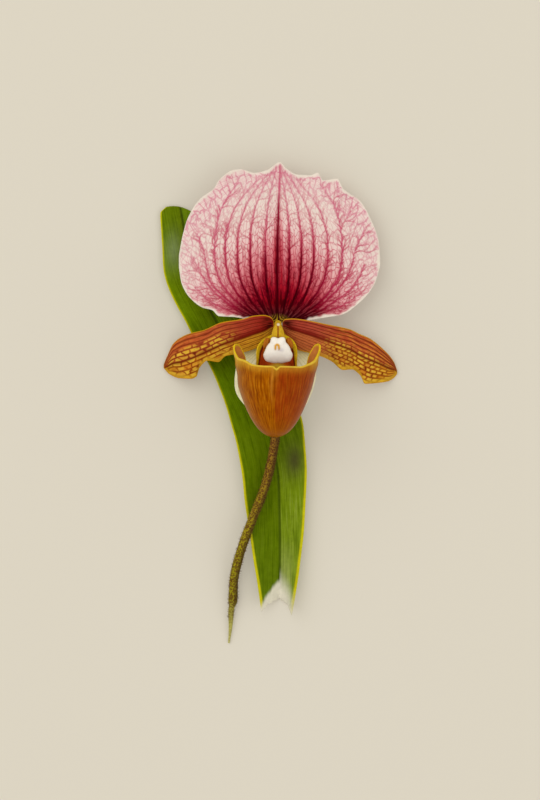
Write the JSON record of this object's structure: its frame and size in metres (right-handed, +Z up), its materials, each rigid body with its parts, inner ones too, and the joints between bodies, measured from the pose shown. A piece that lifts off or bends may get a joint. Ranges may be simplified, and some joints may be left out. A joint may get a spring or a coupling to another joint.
{
  "type": "cypripedium orchid",
  "caption": "Cut slipper orchid lying face up on a strap leaf: veined dorsal sepal, two arched petals, hollow pouch, shield over the column, hairy scape.",
  "frame": {"origin": "on the surface that the orchid lies on, under the middle of its outline", "axes": "+Z up, the way the flower faces; +Y from the cut scape towards the dorsal sepal; +X to the flower's right as seen from above"},
  "size_m": [0.0804, 0.1646, 0.0368],
  "materials": {
    "leaf": "satin green leaf with a pale yellow margin",
    "scape": "hairy, olive with dark spots",
    "bract": "matte green",
    "dorsal_sepal": "white, veined with crimson",
    "synsepal": "matte greenish cream",
    "petal": "satin, brown veins on yellow",
    "lip": "glossy ochre brown",
    "column": "matte yellow",
    "staminode": "matte white",
    "anther": "waxy yellow"
  },
  "bodies": {
    "root": {"leaf": "leaf", "scape": "scape", "bract": "bract", "dorsal_sepal": "dorsal_sepal", "synsepal": "synsepal", "petal_left": "petal", "petal_right": "petal", "lip": "lip", "column": "column", "staminode": "staminode", "anther_left": "anther", "anther_right": "anther"}
  },
  "joints": []
}
